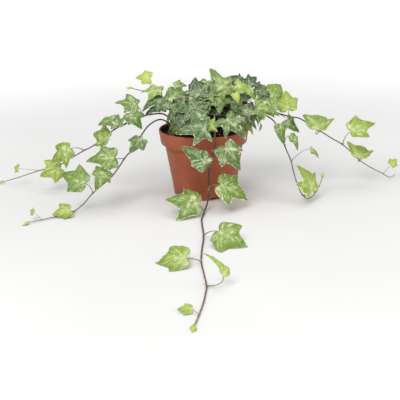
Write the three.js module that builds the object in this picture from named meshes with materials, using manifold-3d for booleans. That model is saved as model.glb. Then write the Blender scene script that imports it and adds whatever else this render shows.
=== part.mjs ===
// A small-leaved variegated ivy in a moulded nursery pot, with long shoots that trail from it.
// Millimetres, +Z up. The origin is the centre of the pot's underside, on the surface that the
// pot stands on, and -Y is the side that the plant faces.

import * as THREE from "three";
import { mergeVertices } from "three/addons/utils/BufferGeometryUtils.js";
import Module from "manifold-3d";

const wasm = await Module();
wasm.setup();

// ---------------------------------------------------------------- driving dimensions

const pot = {
  height: 90,
  rimRadius: 60, // outside, at the top of the rim band
  bandRadius: 57.6, // outside, at the foot of the rim band
  shoulderRadius: 52, // outside, under the step below the band
  footRadius: 41.5, // outside, where it stands
  bandHeight: 18,
  stepHeight: 6,
  wall: 1.6,
  lipRadius: 1, // rounding of the top edge
  padRadius: 18, // flat middle of the underside
  channelRise: 4, // drainage channel between the middle pad and the foot ring
  channelSlope: 2,
  footWidth: 4.5,
  holeRadius: 3.5,
  holeCount: 8,
  holeSides: 12,
  archWidth: 19, // gaps in the foot ring that let water out
  archCount: 8,
  sides: 48,
};

const soil = {
  depthBelowRim: 8,
  crown: 2, // how much higher the middle is than the edge
  sides: 32,
};

const clearance = 0.3; // between pieces that touch or sit in one another

const stem = {
  footDepth: 12, // how far a stem goes down into the soil
  sides: 6,
  stepLength: 9,
  socketSides: 12,
  socketGap: 0.9, // round a stem, which leans in its socket
};

const petiole = {
  stemRadius: 0.6, // where it leaves the stem
  bladeRadius: 0.45, // where it meets the blade
  sides: 5,
  steps: 4,
  gap: 0.6, // between its end and the blade's notch
  run: 0.3, // length in line with the blade, as a share of the leaf's length
  sag: 0.12,
  sink: 0.02,
};

const blade = {
  thickness: 0.6,
  cup: 0.15, // how far the lobes droop, as a share of the leaf's length
  fold: 0.08, // how far the two halves rise from the midrib
  heightOffSurface: 0.3, // lowest that a blade lies on the surface
};

// One half of an ivy leaf about the point where the petiole joins it: degrees from the middle
// lobe's tip, and distance as a share of the middle lobe's length.
const halfOutline = [
  [0, 1],
  [11, 0.84],
  [25, 0.68],
  [40, 0.64],
  [54, 0.75],
  [68, 0.66],
  [87, 0.52],
  [110, 0.5],
  [132, 0.36],
  [158, 0.2],
  [180, 0.1],
];
const sinusShare = halfOutline.at(-1)[1];
const outline = [
  ...halfOutline,
  ...halfOutline
    .slice(1, -1)
    .reverse()
    .map(([angle, share]) => [360 - angle, share]),
];

const colours = {
  pot: { color: 0xa5532f, roughness: 0.5, metalness: 0 },
  soil: { color: 0x2b1e17, roughness: 1, metalness: 0 },
  stem: { color: 0x5b4a3c, roughness: 0.8, metalness: 0 },
  leaf: { color: 0x6f9a45, roughness: 0.45, metalness: 0 },
};

// ---------------------------------------------------------------- the plant

// The shoots are drawn round a pot of this size, and their points move with the real one's rim.
const drawnPot = { height: 90, radius: 60 };

// Each shoot has its route from the soil to its tip, its radius at both ends and its leaves.
// A leaf is [point of the route where its petiole starts, point where the petiole joins the
// blade, length of the middle lobe, direction that the upper side faces, direction that the
// middle lobe points in, and where it differs from the usual, its cup and fold].
const shoots = {
  front: {
    radii: [1.4, 0.7],
    route: [
      [10, -24, 84],
      [12, -36, 96],
      [14, -52, 99],
      [14, -64, 92],
      [13, -67, 76],
      [8, -68, 58],
      [5, -69, 42],
      [5, -72, 26],
      [3, -80, 12],
      [-2, -96, 3],
      [-5, -119, 2],
      [-3, -175, 2],
      [-5, -216, 2],
      [-6, -254, 2],
      [-3, -290, 2],
      [-1, -317, 2],
      [-3, -345, 2],
      [-8, -379, 2],
      [-13, -406, 3],
    ],
    leaves: [
      [2, [0, -68, 103], 35, [0.2, -0.6, 0.7], [-0.9, -0.4, 0.3]],
      [5, [0, -83, 65], 35, [0.3, -0.8, 0.5], [-0.6, -0.1, 0.75]],
      [4, [28, -77, 80], 31, [0.1, -0.8, 0.5], [0.6, -0.4, -0.7]],
      [7, [21, -83, 34], 39, [0.3, -0.6, 0.7], [0.9, 0, -0.4]],
      [9, [-12, -98, 16], 38, [0.3, -0.6, 0.7], [-0.9, -0.25, 0.5]],
      [11, [17, -197, 14], 39, [0, -0.6, 0.8], [0.8, -0.6, -0.3]],
      [13, [-24, -258, 9], 36, [-0.2, -0.4, 0.9], [-0.85, -0.4, -0.2]],
      [15, [16, -318, 14], 26, [0.7, -0.5, 0.5], [-0.7, 0.5, 0.5], 0.3, 0.9],
      [17, [-17, -372, 4], 12, [0.1, -0.4, 0.9], [-1, 0, 0.1]],
    ],
  },
  left_low: {
    radii: [1.1, 0.5],
    route: [
      [-43, -6, 84],
      [-46, -7, 98],
      [-56, -12, 105],
      [-70, -21, 101],
      [-82, -31, 88],
      [-90, -38, 77],
      [-103, -48, 63],
      [-118, -58, 44],
      [-145, -66, 22],
      [-158, -71, 9],
      [-169, -77, 2],
      [-185, -92, 2],
      [-205, -106, 2],
      [-220, -118, 3],
    ],
    leaves: [
      [4, [-82, -46, 86], 26, [0.1, -0.5, 0.8], [-0.6, -0.7, -0.4]],
      [6, [-117, -66, 69], 32, [0.3, -0.7, 0.6], [-0.9, -0.3, 0.1]],
      [7, [-128, -80, 54], 24, [0.3, -0.6, 0.7], [-0.3, -0.8, -0.6]],
      [8, [-153, -86, 44], 33, [0, -0.9, 0.5], [-0.9, 0.2, 0.4]],
      [10, [-174, -90, 8], 21, [0.1, -0.5, 0.85], [-0.9, -0.4, 0.1]],
      [12, [-215, -104, 11], 9, [-0.6, -0.7, 0.4], [-0.7, 0.6, 0.2]],
    ],
  },
  left_high: {
    radii: [1.1, 0.5],
    route: [
      [-41, 6, 84],
      [-44, 5, 100],
      [-54, 4, 109],
      [-82, 4, 106],
      [-100, 5, 99],
      [-118, 7, 90],
      [-135, 9, 78],
      [-152, 11, 65],
      [-164, 13, 59],
      [-185, 18, 46],
      [-200, 22, 37],
      [-232, 34, 26],
      [-262, 46, 14],
      [-292, 58, 3],
    ],
    leaves: [
      [3, [-91, 6, 123], 26, [0.3, -0.5, 0.8], [-0.9, -0.2, 0.4]],
      [5, [-118, -4, 104], 27, [0, -0.4, 0.9], [-1, -0.2, 0.1]],
      [4, [-112, -26, 103], 19, [-0.3, -0.8, 0.6], [-0.2, 0.3, 0.9]],
      [3, [-94, -24, 115], 23, [0.1, -0.9, 0.4], [0.6, -0.3, -0.7]],
      [6, [-130, -6, 80], 26, [-0.3, -0.8, 0.5], [-0.9, 0.3, 0.3]],
      [8, [-184, 6, 63], 31, [-0.2, -0.7, 0.6], [-0.8, -0.1, -0.5]],
      [10, [-202, 16, 33], 27, [0.3, -0.8, 0.5], [-0.8, -0.4, -0.2]],
      [11, [-264, 42, 28], 11, [-0.6, -0.7, 0.4], [-0.7, 0.6, 0]],
    ],
  },
  upper_left: {
    radii: [1, 0.5],
    route: [
      [-34, 16, 84],
      [-40, 16, 104],
      [-48, 20, 122],
      [-60, 25, 131],
      [-74, 30, 134],
      [-98, 40, 138],
    ],
    leaves: [
      [4, [-73, 34, 153], 19, [0, -0.8, 0.6], [-1, 0, 0.25]],
      [3, [-59, 17, 139], 25, [0.1, -0.3, 0.9], [-0.9, 0, 0.2]],
      [2, [-57, 6, 128], 27, [0, -0.4, 0.9], [-0.9, -0.4, -0.1]],
    ],
  },
  right_long: {
    radii: [1.1, 0.5],
    route: [
      [40, 5, 84],
      [48, 4, 103],
      [62, 1, 113],
      [80, -3, 114],
      [99, 0, 107],
      [114, 2, 102],
      [129, 5, 98],
      [141, 7, 90],
      [157, 10, 79],
      [175, 13, 67],
      [189, 15, 58],
      [200, 18, 48],
      [215, 22, 33],
      [232, 26, 21],
      [250, 31, 10],
      [262, 36, 3],
      [269, 39, 6],
    ],
    leaves: [
      [3, [92, 12, 128], 29, [0, -0.7, 0.7], [0.5, 0.5, 0.7]],
      [5, [112, -6, 116], 25, [-0.1, -0.9, 0.4], [-0.1, 0.3, 0.9]],
      [8, [151, -5, 86], 31, [0, -0.5, 0.85], [0.35, 0.8, 0.45], 0.1, 0.6],
      [10, [201, 5, 81], 33, [-0.2, -0.6, 0.7], [0.88, 0, 0.5]],
      [12, [212, 9, 41], 25, [0, -0.5, 0.85], [0.4, 0.8, 0.45], 0.1, 0.6],
      [14, [261, 26, 25], 12, [0.1, -0.8, 0.5], [0.7, 0.3, 0.6]],
      [4, [112, -13, 99], 22, [-0.6, -0.7, 0.4], [0.6, -0.5, -0.6], 0.1, 0.8],
    ],
  },
  right_short: {
    radii: [1.1, 0.5],
    route: [
      [42, -12, 84],
      [48, -13, 100],
      [58, -15, 108],
      [72, -17, 110],
      [88, -20, 105],
      [97, -24, 94],
      [105, -32, 72],
      [109, -36, 62],
      [113, -40, 52],
      [115, -44, 43],
      [118, -48, 31],
      [122, -51, 19],
      [128, -52, 8],
      [134, -50, 3],
      [141, -45, 4],
      [148, -39, 10],
      [153, -34, 19],
      [156, -30, 27],
    ],
    leaves: [
      [5, [100, -36, 97], 24, [-0.5, -0.7, 0.4], [0.1, -0.4, -0.9], 0.1, 0.5],
      [6, [112, -41, 84], 19, [0.4, -0.6, 0.7], [0.6, -0.4, -0.7], 0.1, 0.5],
      [8, [139, -38, 66], 18, [0.7, -0.6, 0.5], [0.3, -0.5, -0.8], 0.1, 1.2],
      [12, [137, -58, 19], 35, [0.8, -0.55, 0.3], [-0.3, 0.1, 0.95], 0.1, 0.2],
    ],
  },
  crown_front_left: {
    radii: [1.2, 0.8],
    route: [
      [-20, -14, 84],
      [-22, -20, 98],
      [-24, -26, 110],
      [-25, -26, 122],
    ],
    leaves: [
      [1, [-26, -42, 109], 29, [-0.2, -0.7, 0.7], [-0.8, -0.5, -0.4]],
      [2, [-2, -54, 113], 29, [0.1, -0.6, 0.8], [-0.5, 0.6, 0.6]],
      [3, [-39, -6, 132], 24, [-0.4, -0.7, 0.5], [-0.5, 0.2, 0.9]],
    ],
  },
  crown_front_right: {
    radii: [1.2, 0.8],
    route: [
      [22, -10, 84],
      [26, -16, 98],
      [32, -22, 110],
      [36, -24, 122],
    ],
    leaves: [
      [1, [31, -47, 110], 33, [0.2, -0.6, 0.8], [0.8, -0.5, -0.5]],
      [3, [72, -28, 121], 28, [0, -0.7, 0.7], [0.9, -0.2, -0.1]],
      [3, [46, -16, 148], 29, [0.2, -0.5, 0.8], [0.9, -0.2, -0.3]],
    ],
  },
  crown_middle: {
    radii: [1.2, 0.8],
    route: [
      [0, 6, 84],
      [2, 6, 104],
      [8, 4, 122],
      [14, 4, 136],
    ],
    leaves: [
      [3, [25, 4, 143], 38, [0.3, -0.6, 0.7], [-0.3, 0.6, 0.8]],
      [2, [-6, -18, 138], 28, [-0.2, -0.7, 0.6], [-0.3, 0.4, 0.8]],
      [1, [-8, -36, 120], 28, [0.1, -0.7, 0.7], [-0.9, -0.1, 0.4]],
    ],
  },
  crown_back: {
    radii: [1.2, 0.8],
    route: [
      [10, 26, 84],
      [14, 32, 102],
      [20, 37, 120],
      [24, 40, 134],
    ],
    leaves: [
      [3, [44, 30, 147], 32, [0.2, -0.3, 0.9], [0.9, 0.1, 0.1]],
      [2, [-14, 56, 122], 33, [-0.2, 0.7, 0.7], [-0.5, 0.5, -0.6]],
    ],
  },
};

// ---------------------------------------------------------------- solids

function toSolid(geometry) {
  const bare = geometry.index ? geometry.toNonIndexed() : geometry.clone();
  bare.deleteAttribute("normal");
  bare.deleteAttribute("uv");
  const merged = mergeVertices(bare, 1e-4);
  return new wasm.Manifold(
    new wasm.Mesh({
      numProp: 3,
      vertProperties: merged.attributes.position.array,
      triVerts: new Uint32Array(merged.index.array),
    }),
  );
}

function toGeometry(solid) {
  const mesh = solid.getMesh();
  const geometry = new THREE.BufferGeometry();
  geometry.setAttribute("position", new THREE.BufferAttribute(mesh.vertProperties, 3));
  geometry.setIndex(new THREE.BufferAttribute(mesh.triVerts, 1));
  geometry.computeVertexNormals();
  return geometry;
}

function namedMesh(name, geometry, colour) {
  const mesh = new THREE.Mesh(geometry, new THREE.MeshStandardMaterial(colour));
  mesh.name = name;
  return mesh;
}

// A turned shape about Z. The profile is a list of [radius, height] from the axis to the axis.
function turned(profile, sides) {
  const points = profile.map(([radius, height]) => new THREE.Vector2(radius, height));
  return new THREE.LatheGeometry(points, sides).rotateX(Math.PI / 2);
}

// An upright cylinder from one height to another.
function post(radius, bottom, top, sides) {
  const geometry = new THREE.CylinderGeometry(radius, radius, top - bottom, sides);
  return geometry.rotateX(Math.PI / 2).translate(0, 0, (bottom + top) / 2);
}

// A closed tube along a curve, tapering from the first radius to the second.
function taperedTube(curve, [startRadius, endRadius], sides, steps) {
  const geometry = new THREE.CylinderGeometry(1, 1, 1, sides, steps);
  const { normals, binormals } = curve.computeFrenetFrames(steps, false);
  const position = geometry.attributes.position;
  for (let i = 0; i < position.count; i++) {
    const share = 0.5 + position.getY(i);
    const step = Math.round(share * steps);
    const radius = THREE.MathUtils.lerp(startRadius, endRadius, share);
    const point = curve
      .getPointAt(share)
      .addScaledVector(binormals[step], position.getX(i) * radius)
      .addScaledVector(normals[step], position.getZ(i) * radius);
    position.setXYZ(i, point.x, point.y, point.z);
  }
  return geometry;
}

// ---------------------------------------------------------------- pot and soil

const rimTop = pot.height;
const soilEdge = rimTop - soil.depthBelowRim;
const bandFoot = rimTop - pot.bandHeight;
const stepFoot = bandFoot - pot.stepHeight;
const channelStart = pot.padRadius + pot.channelSlope;
const channelEnd = pot.footRadius - pot.footWidth - pot.channelSlope;
const channelMiddle = (channelStart + channelEnd) / 2;

// The inside of the pot from the rim down to the axis, moved inwards by a gap.
function innerProfile(top, gap) {
  const inset = pot.wall + gap;
  const floor = pot.wall + gap;
  const foot = pot.footRadius - inset;
  const wallAt = (z) =>
    THREE.MathUtils.mapLinear(z, 0, stepFoot, foot, pot.shoulderRadius - inset);
  const bandAt = (z) =>
    THREE.MathUtils.mapLinear(z, bandFoot, rimTop, pot.bandRadius, pot.rimRadius) - inset;
  const rise = pot.channelRise + floor;
  return [
    [bandAt(top), top],
    [bandAt(bandFoot), bandFoot],
    [wallAt(stepFoot), stepFoot],
    [wallAt(rise), rise],
    [channelStart - gap, rise],
    [pot.padRadius - gap, floor],
    [0, floor],
  ];
}

function makePot() {
  const inner = innerProfile(rimTop - pot.lipRadius, 0);
  const profile = [
    [0, 0],
    [pot.padRadius, 0],
    [channelStart, pot.channelRise],
    [channelEnd, pot.channelRise],
    [channelEnd + pot.channelSlope, 0],
    [pot.footRadius, 0],
    [pot.shoulderRadius, stepFoot],
    [pot.bandRadius, bandFoot],
    [pot.rimRadius, rimTop - pot.lipRadius],
    [pot.rimRadius - pot.wall / 2, rimTop],
    ...inner,
  ];
  let body = toSolid(turned(profile, pot.sides));
  for (let i = 0; i < pot.holeCount; i++) {
    const angle = (i / pot.holeCount) * 2 * Math.PI;
    const hole = post(pot.holeRadius, -pot.wall, 3 * pot.channelRise, pot.holeSides).translate(
      channelMiddle * Math.cos(angle),
      channelMiddle * Math.sin(angle),
      0,
    );
    body = body.subtract(toSolid(hole));
  }
  const archLength = pot.footWidth + 3 * pot.channelSlope;
  for (let i = 0; i < pot.archCount; i++) {
    const angle = ((i + 0.5) / pot.archCount) * 2 * Math.PI;
    const arch = new THREE.BoxGeometry(archLength, pot.archWidth, 2 * pot.channelRise)
      .translate(pot.footRadius + pot.channelSlope - archLength / 2, 0, 0)
      .rotateZ(angle);
    body = body.subtract(toSolid(arch));
  }
  return namedMesh("pot", toGeometry(body), colours.pot);
}

// The soil fills the pot, and every stem's foot has a socket in it.
function makeSoil(feet) {
  const inner = innerProfile(soilEdge, clearance).reverse();
  const edgeRadius = inner.at(-1)[0];
  const dome = [0.75, 0.5, 0.25, 0].map((share) => [
    edgeRadius * share,
    soilEdge + soil.crown * (1 - share * share),
  ]);
  let body = toSolid(turned([...inner, ...dome], soil.sides));
  for (const { x, y, radius } of feet) {
    const bottom = soilEdge - stem.footDepth - clearance;
    const top = soilEdge + 2 * soil.crown;
    const socket = post(radius + stem.socketGap, bottom, top, stem.socketSides);
    body = body.subtract(toSolid(socket.translate(x, y, 0)));
  }
  return namedMesh("potting_soil", toGeometry(body), colours.soil);
}

// ---------------------------------------------------------------- leaves

// A point of a shoot, moved outwards and up with the pot's rim. From a higher pot the shoots
// reach further out, so that they come down just as steeply.
function besidePot([x, y, z]) {
  const widest = Math.max(pot.rimRadius, pot.bandRadius, pot.shoulderRadius);
  const stretch = rimTop / drawnPot.height;
  const radius = Math.hypot(x, y);
  const beyondRim = (radius - drawnPot.radius) * stretch;
  const inside = radius < drawnPot.radius;
  const outwards = inside ? widest / drawnPot.radius : (widest + beyondRim) / radius;
  const height = z < drawnPot.height ? z * stretch : z + rimTop - drawnPot.height;
  return new THREE.Vector3(x * outwards, y * outwards, height);
}

// Where a leaf is and which way it lies: its middle lobe points along one axis and its upper
// side faces along another.
function leafFrame([place, joint, length, face, tip, cup = blade.cup, fold = blade.fold]) {
  const facing = new THREE.Vector3(...face).normalize();
  const across = new THREE.Vector3(...tip).cross(facing).normalize();
  const along = facing.clone().cross(across);
  return { place, joint: besidePot(joint), length, facing, across, along, cup, fold };
}

// A disc whose rim takes the leaf's outline, bent into a shallow fold with drooping lobes.
// Where a lobe would go through the surface that the pot stands on, it lies along it.
function makeLeaf(name, { joint, length, facing, across, along, cup, fold }) {
  const geometry = new THREE.CylinderGeometry(1, 1, blade.thickness, outline.length);
  const position = geometry.attributes.position;
  const lowest = blade.heightOffSurface + blade.thickness / 2;
  for (let i = 0; i < position.count; i++) {
    const onRim = Math.hypot(position.getX(i), position.getZ(i)) > 0.5;
    const turn = Math.atan2(-position.getX(i), position.getZ(i)) / (2 * Math.PI);
    const place = Math.round((turn + 1) * outline.length) % outline.length;
    const [angle, share] = onRim ? outline[place] : [0, 0];
    const sideways = share * Math.sin(THREE.MathUtils.degToRad(angle));
    const forwards = share * Math.cos(THREE.MathUtils.degToRad(angle));
    const lift = fold * Math.abs(sideways) - cup * share * share;
    const point = joint
      .clone()
      .addScaledVector(across, sideways * length)
      .addScaledVector(along, forwards * length)
      .addScaledVector(facing, lift * length);
    point.z = Math.max(point.z, lowest);
    point.addScaledVector(facing, position.getY(i));
    position.setXYZ(i, point.x, point.y, point.z);
  }
  return namedMesh(name, geometry, colours.leaf);
}

// ---------------------------------------------------------------- stems

// A petiole leaves the stem and comes in between the two lowest lobes, in line with the blade.
function petioleSolid(curve, { place, joint, length, facing, along }) {
  const start = curve.getPoint((place + 1) / (curve.points.length - 1));
  const end = joint
    .clone()
    .addScaledVector(along, -sinusShare * length - petiole.gap)
    .addScaledVector(facing, -petiole.sink * length);
  const bend = end
    .clone()
    .addScaledVector(along, -petiole.run * length)
    .addScaledVector(facing, -petiole.sag * length);
  const line = new THREE.QuadraticBezierCurve3(start, bend, end);
  const radii = [petiole.stemRadius, petiole.bladeRadius];
  return toSolid(taperedTube(line, radii, petiole.sides, petiole.steps));
}

// One grown piece: a stem, whose foot is in the soil, with the petioles of all its leaves.
function makeShoot(name, { route, radii, leaves }) {
  const shoot = new THREE.Group();
  const points = route.map(besidePot);
  const foot = points[0].setZ(soilEdge + soil.crown).clone().setZ(soilEdge - stem.footDepth);
  const curve = new THREE.CatmullRomCurve3([foot, ...points], false, "centripetal");
  const steps = Math.round(curve.getLength() / stem.stepLength);
  let body = toSolid(taperedTube(curve, radii, stem.sides, steps));
  leaves.map(leafFrame).forEach((leaf, i) => {
    body = body.add(petioleSolid(curve, leaf));
    shoot.add(makeLeaf(`leaf_${name}_${i + 1}`, leaf));
  });
  shoot.add(namedMesh(`stem_${name}`, toGeometry(body), colours.stem));
  shoot.userData.foot = { x: foot.x, y: foot.y, radius: radii[0] };
  return shoot;
}

// ---------------------------------------------------------------- assembly

const pottedIvy = new THREE.Group();
const grown = Object.entries(shoots).map(([name, shoot]) => makeShoot(name, shoot));
pottedIvy.add(makePot(), makeSoil(grown.map((shoot) => shoot.userData.foot)), ...grown);

export default pottedIvy;
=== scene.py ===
import math
import random

import bmesh
import bpy
from mathutils import Matrix, Vector, noise
from mathutils.kdtree import KDTree


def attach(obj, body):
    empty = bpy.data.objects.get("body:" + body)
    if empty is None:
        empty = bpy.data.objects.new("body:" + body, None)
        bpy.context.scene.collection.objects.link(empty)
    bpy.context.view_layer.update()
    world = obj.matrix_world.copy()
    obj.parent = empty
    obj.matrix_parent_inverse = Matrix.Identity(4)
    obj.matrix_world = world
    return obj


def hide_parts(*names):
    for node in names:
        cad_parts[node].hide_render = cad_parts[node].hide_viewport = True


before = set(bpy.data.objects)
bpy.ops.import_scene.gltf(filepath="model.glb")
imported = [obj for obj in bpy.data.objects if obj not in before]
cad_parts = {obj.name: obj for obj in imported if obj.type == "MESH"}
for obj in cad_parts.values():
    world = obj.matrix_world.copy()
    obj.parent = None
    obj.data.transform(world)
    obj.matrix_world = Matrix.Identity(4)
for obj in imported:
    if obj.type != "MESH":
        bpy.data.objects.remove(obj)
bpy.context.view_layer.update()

mm = 0.001


def workOn(piece):
    # only this piece is selected and active
    if bpy.context.object and bpy.context.object.mode != "OBJECT":
        bpy.ops.object.mode_set(mode="OBJECT")
    bpy.ops.object.select_all(action="DESELECT")
    piece.select_set(True)
    bpy.context.view_layer.objects.active = piece


def nameActive(name):
    piece = bpy.context.object
    piece.name = name
    piece.data.name = name
    return piece


def applyPlace(piece):
    workOn(piece)
    bpy.ops.object.transform_apply(location=True, rotation=True, scale=True)


def applyModifiers(piece):
    workOn(piece)
    for modifier in list(piece.modifiers):
        bpy.ops.object.modifier_apply(modifier=modifier.name)


def joinAll(pieces, name):
    workOn(pieces[0])
    for piece in pieces:
        piece.select_set(True)
    if len(pieces) > 1:
        bpy.ops.object.join()
    return nameActive(name)


def smooth(piece, degrees=35):
    workOn(piece)
    bpy.ops.object.shade_smooth_by_angle(angle=math.radians(degrees))


def giveFinish(piece, *materials):
    piece.data.materials.clear()
    for material in materials:
        piece.data.materials.append(material)


def clamp(value, low=0.0, high=1.0):
    return max(low, min(high, value))


def newMaterial(name):
    material = bpy.data.materials.new(name)
    material.use_nodes = True
    tree = material.node_tree
    shader = tree.nodes["Principled BSDF"]
    return material, tree, shader


def addNode(tree, kind, **settings):
    node = tree.nodes.new(kind)
    for key, value in settings.items():
        setattr(node, key, value)
    return node


def feed(tree, socket, value):
    # a number or a colour is set on the socket, anything else is linked to it
    if isinstance(value, (int, float, tuple, list)):
        socket.default_value = value
    else:
        tree.links.new(value, socket)


def calc(tree, operation, *values, limit=False):
    node = addNode(tree, "ShaderNodeMath", operation=operation, use_clamp=limit)
    for i, value in enumerate(values):
        feed(tree, node.inputs[i], value)
    return node.outputs[0]


def blendColour(tree, share, first, second, mode="MIX"):
    node = addNode(tree, "ShaderNodeMix", data_type="RGBA", blend_type=mode)
    feed(tree, node.inputs["Factor"], share)
    feed(tree, node.inputs["A"], first)
    feed(tree, node.inputs["B"], second)
    return node.outputs["Result"]


def remap(tree, value, low, high, first=0.0, last=1.0, curve="SMOOTHSTEP"):
    node = addNode(tree, "ShaderNodeMapRange", interpolation_type=curve)
    for i, item in enumerate([value, low, high, first, last]):
        feed(tree, node.inputs[i], item)
    return node.outputs[0]


def noiseOf(tree, vector, scale, detail=3.0, rough=0.5, distortion=0.0):
    node = addNode(tree, "ShaderNodeTexNoise")
    tree.links.new(vector, node.inputs["Vector"])
    node.inputs["Scale"].default_value = scale
    node.inputs["Detail"].default_value = detail
    node.inputs["Roughness"].default_value = rough
    node.inputs["Distortion"].default_value = distortion
    return node.outputs["Fac"]


def bumpOf(tree, height, distance, strength):
    node = addNode(tree, "ShaderNodeBump")
    node.inputs["Strength"].default_value = strength
    node.inputs["Distance"].default_value = distance
    tree.links.new(height, node.inputs["Height"])
    return node.outputs["Normal"]


def attributeParts(tree, name):
    # the three numbers of a vector attribute
    attribute = addNode(tree, "ShaderNodeAttribute", attribute_name=name)
    split = addNode(tree, "ShaderNodeSeparateXYZ")
    tree.links.new(attribute.outputs["Vector"], split.inputs[0])
    return split.outputs


def vectorOf(tree, *values):
    node = addNode(tree, "ShaderNodeCombineXYZ")
    for socket, value in zip(node.inputs, values):
        feed(tree, socket, value)
    return node.outputs[0]


def lengthOf(tree, vector):
    node = addNode(tree, "ShaderNodeVectorMath", operation="LENGTH")
    tree.links.new(vector, node.inputs[0])
    return node.outputs["Value"]


def objectPlace(tree):
    return addNode(tree, "ShaderNodeTexCoord").outputs["Object"]


def setShader(shader, **values):
    # numbers that are the same all over the surface
    names = {"roughness": "Roughness", "specular": "Specular IOR Level"}
    for key, value in values.items():
        shader.inputs[names[key]].default_value = value


def youthRamp(tree, youth, stops):
    # each stop is a youth from 0 to 1 and its colour
    ramp = addNode(tree, "ShaderNodeValToRGB")
    tree.links.new(youth, ramp.inputs[0])
    elements = ramp.color_ramp.elements
    elements[0].position, elements[0].color = stops[0]
    elements[1].position, elements[1].color = stops[-1]
    for position, colour in stops[1:-1]:
        element = elements.new(position)
        element.color = colour
    return ramp.outputs[0]


def rgb(red, green, blue):
    # screen colour to the linear colour that a socket wants
    def linear(value):
        value /= 255
        return value / 12.92 if value < 0.04045 else ((value + 0.055) / 1.055) ** 2.4
    return (linear(red), linear(green), linear(blue), 1.0)


view = {
    "place": (0.0, -1.060, 0.339),
    "pitch": 18.327,
    "yaw": -0.396,
    "roll": 1.5,  # angles are in degrees
    "lens": 72.9,
    "sensor": 36,
    "nearest": 0.01,
}


def makeCamera():
    pitch, yaw, roll = (math.radians(view[key]) for key in ("pitch", "yaw", "roll"))
    forward = Vector((math.sin(yaw) * math.cos(pitch), math.cos(yaw) * math.cos(pitch),
                      -math.sin(pitch)))
    level = forward.cross(Vector((0, 0, 1))).normalized()
    upright = level.cross(forward)
    right = level * math.cos(roll) - upright * math.sin(roll)
    up = upright * math.cos(roll) + level * math.sin(roll)
    bpy.ops.object.camera_add(location=view["place"])
    camera = bpy.context.object
    camera.name = "front_camera"
    turn = Matrix((right, up, -forward)).transposed()
    camera.matrix_world = Matrix.Translation(view["place"]) @ turn.to_4x4()
    camera.data.lens = view["lens"]
    camera.data.sensor_width = view["sensor"]
    camera.data.clip_start = view["nearest"]
    bpy.context.scene.camera = camera
    print("camera ready")


studio = {
    "floorSize": 90.0,
    "farGlow": 0.60,  # the far floor is as light as the near one
    "glowFrom": 0.15,
    "glowTo": 1.7,
    "tones": ((0.86, 0.86, 0.86, 1), (0.90, 0.90, 0.90, 1)),
    "worldStrength": 0.46,
}

lamps = {
    "key_light": {"place": (-0.5, -1.3, 1.5), "target": (0, 0, 0.08), "size": 1.0,
                  "power": 17.0, "tint": (1, 0.985, 0.96)},
    "fill_light": {"place": (1.3, -0.9, 0.8), "target": (0, 0, 0.08), "size": 1.2,
                   "power": 4.5, "tint": (1, 1, 1)},
    "top_light": {"place": (0.1, 0.3, 1.8), "target": (0, 0, 0.05), "size": 1.6,
                  "power": 9.0, "tint": (1, 1, 1)},
}


def addArea(name, look):
    bpy.ops.object.light_add(type="AREA", location=look["place"])
    lamp = bpy.context.object
    lamp.name = name
    lamp.data.size = look["size"]
    lamp.data.energy = look["power"]
    lamp.data.color = look["tint"]
    aim = Vector(look["target"]) - Vector(look["place"])
    lamp.rotation_euler = aim.to_track_quat("-Z", "Y").to_euler()


def makeStudio():
    bpy.ops.mesh.primitive_plane_add(size=studio["floorSize"])
    floor = nameActive("floor")
    material, tree, shader = newMaterial("paleFloor")
    place = objectPlace(tree)
    tone = remap(tree, noiseOf(tree, place, 3.0), 0.3, 0.7)
    colour = blendColour(tree, tone, *studio["tones"])
    tree.links.new(colour, shader.inputs["Base Color"])
    setShader(shader, roughness=0.9, specular=0.1)
    glow = remap(tree, lengthOf(tree, place), studio["glowFrom"], studio["glowTo"], 0.0,
                 studio["farGlow"])
    tree.links.new(glow, shader.inputs["Emission Strength"])
    shader.inputs["Emission Color"].default_value = (1, 1, 1, 1)
    giveFinish(floor, material)
    for name, look in lamps.items():
        addArea(name, look)
    world = bpy.data.worlds.new("pale_room")
    bpy.context.scene.world = world
    world.use_nodes = True
    background = world.node_tree.nodes["Background"]
    background.inputs["Color"].default_value = (1, 1, 1, 1)
    background.inputs["Strength"].default_value = studio["worldStrength"]
    bpy.context.scene.view_settings.view_transform = "Standard"
    print("floor and lights ready")


potLook = {  # lengths are in millimetres
    "segments": 128,
    "smoothAngle": 32,
    "holes": 8,
    "holeRadius": 3.5,
    "holeRing": 27.5,  # from the axis to the holes' middles
    "archRing": 38.5,
    "archSize": (11.0, 19.0, 7.6),
    "bandFoot": 73.2,  # heights inside the rim band, and its wall's middle at each
    "bandTop": 88.0,
    "bandMiddles": (57.0, 59.0),
    # heights between which the painted shade on the inner wall above the soil fades in
    "innerShadeFrom": 88.6,
    "innerShadeFull": 85.0,
    "colour": rgb(176, 92, 56),
    "dark": rgb(150, 72, 42),
    "dust": rgb(205, 140, 112),
    "innerShade": rgb(44, 30, 24),
# near-black colour of the painted shade inside the rim
}

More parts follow.
